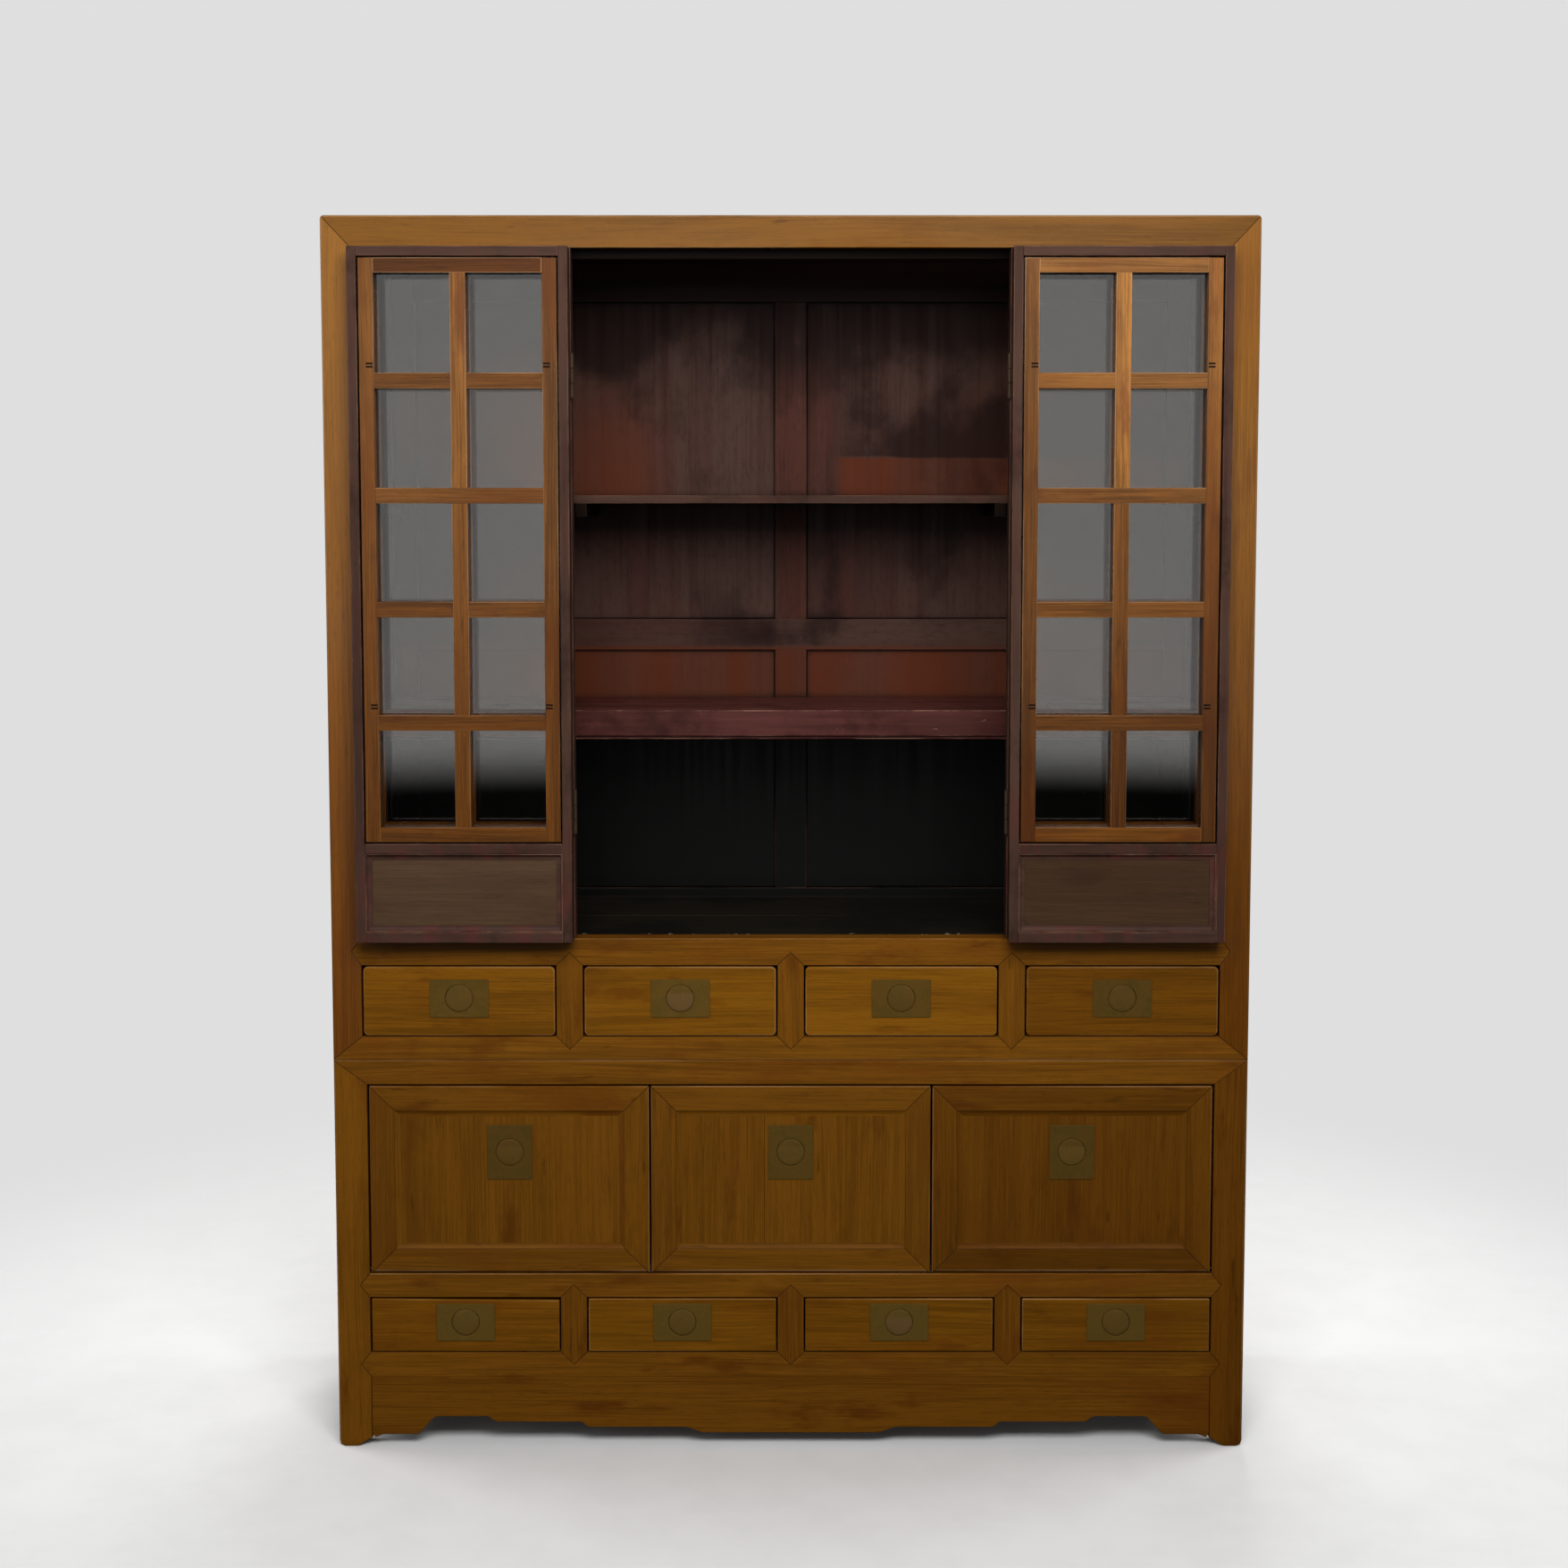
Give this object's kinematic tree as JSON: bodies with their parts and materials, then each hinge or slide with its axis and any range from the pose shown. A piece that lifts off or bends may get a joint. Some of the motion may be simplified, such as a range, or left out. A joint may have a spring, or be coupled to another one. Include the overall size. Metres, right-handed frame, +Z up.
{
  "type": "library cabinet",
  "caption": "Tall two-part wooden library cabinet with folding glazed lattice doors, open shelves, drawer rows and tip-out lower doors with flush disc pulls.",
  "frame": {"origin": "middle of the footprint on the floor, with the folded leaves counted in", "axes": "+Z up, +Y from the front to the back, +X to the right seen from the front"},
  "size_m": [1.485, 0.446, 2],
  "materials": {
    "honey_wood": "satin honey-brown polish",
    "panel_wood": "satin olive-brown polish",
    "drawer_wood": "satin yellow-brown polish",
    "dark_lacquer": "worn aubergine-brown lacquer",
    "lattice_wood": "copper-brown polish",
    "red_lacquer": "streaked dark red lacquer",
    "black_lacquer": "black lacquer",
    "window_glass": "clear sheet glass",
    "bronze_brass": "dull olive bronze"
  },
  "bodies": {
    "case": {"upper_face_frame": "honey_wood", "lower_face_frame": "honey_wood", "apron": "honey_wood", "upper_side_left": "honey_wood", "upper_side_right": "honey_wood", "lower_side_left": "honey_wood", "lower_side_right": "honey_wood", "upper_back": "red_lacquer", "lower_back": "panel_wood", "upper_top": "panel_wood", "lower_top": "panel_wood", "book_floor": "black_lacquer", "lower_floor": "panel_wood", "upper_drawer_deck": "panel_wood", "lower_drawer_deck": "panel_wood", "upper_shelf": "dark_lacquer", "lower_shelf": "red_lacquer", "left_outer_leaf": "dark_lacquer", "left_outer_glass": "window_glass", "right_outer_leaf": "dark_lacquer", "right_outer_glass": "window_glass"},
    "left_leaf": {"left_inner_leaf": "dark_lacquer", "left_inner_sash": "lattice_wood", "left_inner_glass": "window_glass"},
    "right_leaf": {"right_inner_leaf": "dark_lacquer", "right_inner_sash": "lattice_wood", "right_inner_glass": "window_glass"},
    "drawer_u1": {"upper_drawer_1": "drawer_wood", "upper_drawer_1_plate": "bronze_brass"},
    "pull_u1": {"upper_drawer_1_disc": "bronze_brass"},
    "drawer_u2": {"upper_drawer_2": "drawer_wood", "upper_drawer_2_plate": "bronze_brass"},
    "pull_u2": {"upper_drawer_2_disc": "bronze_brass"},
    "drawer_u3": {"upper_drawer_3": "drawer_wood", "upper_drawer_3_plate": "bronze_brass"},
    "pull_u3": {"upper_drawer_3_disc": "bronze_brass"},
    "drawer_u4": {"upper_drawer_4": "drawer_wood", "upper_drawer_4_plate": "bronze_brass"},
    "pull_u4": {"upper_drawer_4_disc": "bronze_brass"},
    "drawer_l1": {"lower_drawer_1": "drawer_wood", "lower_drawer_1_plate": "bronze_brass"},
    "pull_l1": {"lower_drawer_1_disc": "bronze_brass"},
    "drawer_l2": {"lower_drawer_2": "drawer_wood", "lower_drawer_2_plate": "bronze_brass"},
    "pull_l2": {"lower_drawer_2_disc": "bronze_brass"},
    "drawer_l3": {"lower_drawer_3": "drawer_wood", "lower_drawer_3_plate": "bronze_brass"},
    "pull_l3": {"lower_drawer_3_disc": "bronze_brass"},
    "drawer_l4": {"lower_drawer_4": "drawer_wood", "lower_drawer_4_plate": "bronze_brass"},
    "pull_l4": {"lower_drawer_4_disc": "bronze_brass"},
    "door_1": {"lower_door_1": "panel_wood", "lower_door_1_plate": "bronze_brass"},
    "pull_d1": {"lower_door_1_disc": "bronze_brass"},
    "door_2": {"lower_door_2": "panel_wood", "lower_door_2_plate": "bronze_brass"},
    "pull_d2": {"lower_door_2_disc": "bronze_brass"},
    "door_3": {"lower_door_3": "panel_wood", "lower_door_3_plate": "bronze_brass"},
    "pull_d3": {"lower_door_3_disc": "bronze_brass"}
  },
  "joints": [
    {"name": "left_leaf_fold", "type": "hinge", "parent": "case", "child": "left_leaf", "pos_m": [-0.34675, -0.184, 1.3975], "axis": [0, 0, 1], "range_deg": [0, 180]},
    {"name": "right_leaf_fold", "type": "hinge", "parent": "case", "child": "right_leaf", "pos_m": [0.34675, -0.184, 1.3975], "axis": [0, 0, -1], "range_deg": [0, 180]},
    {"name": "drawer_u1_slide", "type": "slide", "parent": "case", "child": "drawer_u1", "axis": [0, -1, 0], "range_m": [0, 0.25]},
    {"name": "pull_u1_turn", "type": "hinge", "parent": "drawer_u1", "child": "pull_u1", "pos_m": [-0.537, -0.1762, 0.7565], "axis": [-1, 0, 0], "range_deg": [0, 65]},
    {"name": "drawer_u2_slide", "type": "slide", "parent": "case", "child": "drawer_u2", "axis": [0, -1, 0], "range_m": [0, 0.25]},
    {"name": "pull_u2_turn", "type": "hinge", "parent": "drawer_u2", "child": "pull_u2", "pos_m": [-0.179, -0.1762, 0.7565], "axis": [-1, 0, 0], "range_deg": [0, 65]},
    {"name": "drawer_u3_slide", "type": "slide", "parent": "case", "child": "drawer_u3", "axis": [0, -1, 0], "range_m": [0, 0.25]},
    {"name": "pull_u3_turn", "type": "hinge", "parent": "drawer_u3", "child": "pull_u3", "pos_m": [0.179, -0.1762, 0.7565], "axis": [-1, 0, 0], "range_deg": [0, 65]},
    {"name": "drawer_u4_slide", "type": "slide", "parent": "case", "child": "drawer_u4", "axis": [0, -1, 0], "range_m": [0, 0.25]},
    {"name": "pull_u4_turn", "type": "hinge", "parent": "drawer_u4", "child": "pull_u4", "pos_m": [0.537, -0.1762, 0.7565], "axis": [-1, 0, 0], "range_deg": [0, 65]},
    {"name": "drawer_l1_slide", "type": "slide", "parent": "case", "child": "drawer_l1", "axis": [0, -1, 0], "range_m": [0, 0.25]},
    {"name": "pull_l1_turn", "type": "hinge", "parent": "drawer_l1", "child": "pull_l1", "pos_m": [-0.5325, -0.1762, 0.218], "axis": [-1, 0, 0], "range_deg": [0, 65]},
    {"name": "drawer_l2_slide", "type": "slide", "parent": "case", "child": "drawer_l2", "axis": [0, -1, 0], "range_m": [0, 0.25]},
    {"name": "pull_l2_turn", "type": "hinge", "parent": "drawer_l2", "child": "pull_l2", "pos_m": [-0.1775, -0.1762, 0.218], "axis": [-1, 0, 0], "range_deg": [0, 65]},
    {"name": "drawer_l3_slide", "type": "slide", "parent": "case", "child": "drawer_l3", "axis": [0, -1, 0], "range_m": [0, 0.25]},
    {"name": "pull_l3_turn", "type": "hinge", "parent": "drawer_l3", "child": "pull_l3", "pos_m": [0.1775, -0.1762, 0.218], "axis": [-1, 0, 0], "range_deg": [0, 65]},
    {"name": "drawer_l4_slide", "type": "slide", "parent": "case", "child": "drawer_l4", "axis": [0, -1, 0], "range_m": [0, 0.25]},
    {"name": "pull_l4_turn", "type": "hinge", "parent": "drawer_l4", "child": "pull_l4", "pos_m": [0.5325, -0.1762, 0.218], "axis": [-1, 0, 0], "range_deg": [0, 65]},
    {"name": "door_1_tip", "type": "hinge", "parent": "case", "child": "door_1", "pos_m": [-0.458, -0.171, 0.2978], "axis": [1, 0, 0], "range_deg": [0, 90]},
    {"name": "pull_d1_turn", "type": "hinge", "parent": "door_1", "child": "pull_d1", "pos_m": [-0.458, -0.1732, 0.5016], "axis": [-1, 0, 0], "range_deg": [0, 65]},
    {"name": "door_2_tip", "type": "hinge", "parent": "case", "child": "door_2", "pos_m": [0, -0.171, 0.2978], "axis": [1, 0, 0], "range_deg": [0, 90]},
    {"name": "pull_d2_turn", "type": "hinge", "parent": "door_2", "child": "pull_d2", "pos_m": [0, -0.1732, 0.5016], "axis": [-1, 0, 0], "range_deg": [0, 65]},
    {"name": "door_3_tip", "type": "hinge", "parent": "case", "child": "door_3", "pos_m": [0.458, -0.171, 0.2978], "axis": [1, 0, 0], "range_deg": [0, 90]},
    {"name": "pull_d3_turn", "type": "hinge", "parent": "door_3", "child": "pull_d3", "pos_m": [0.458, -0.1732, 0.5016], "axis": [-1, 0, 0], "range_deg": [0, 65]}
  ]
}
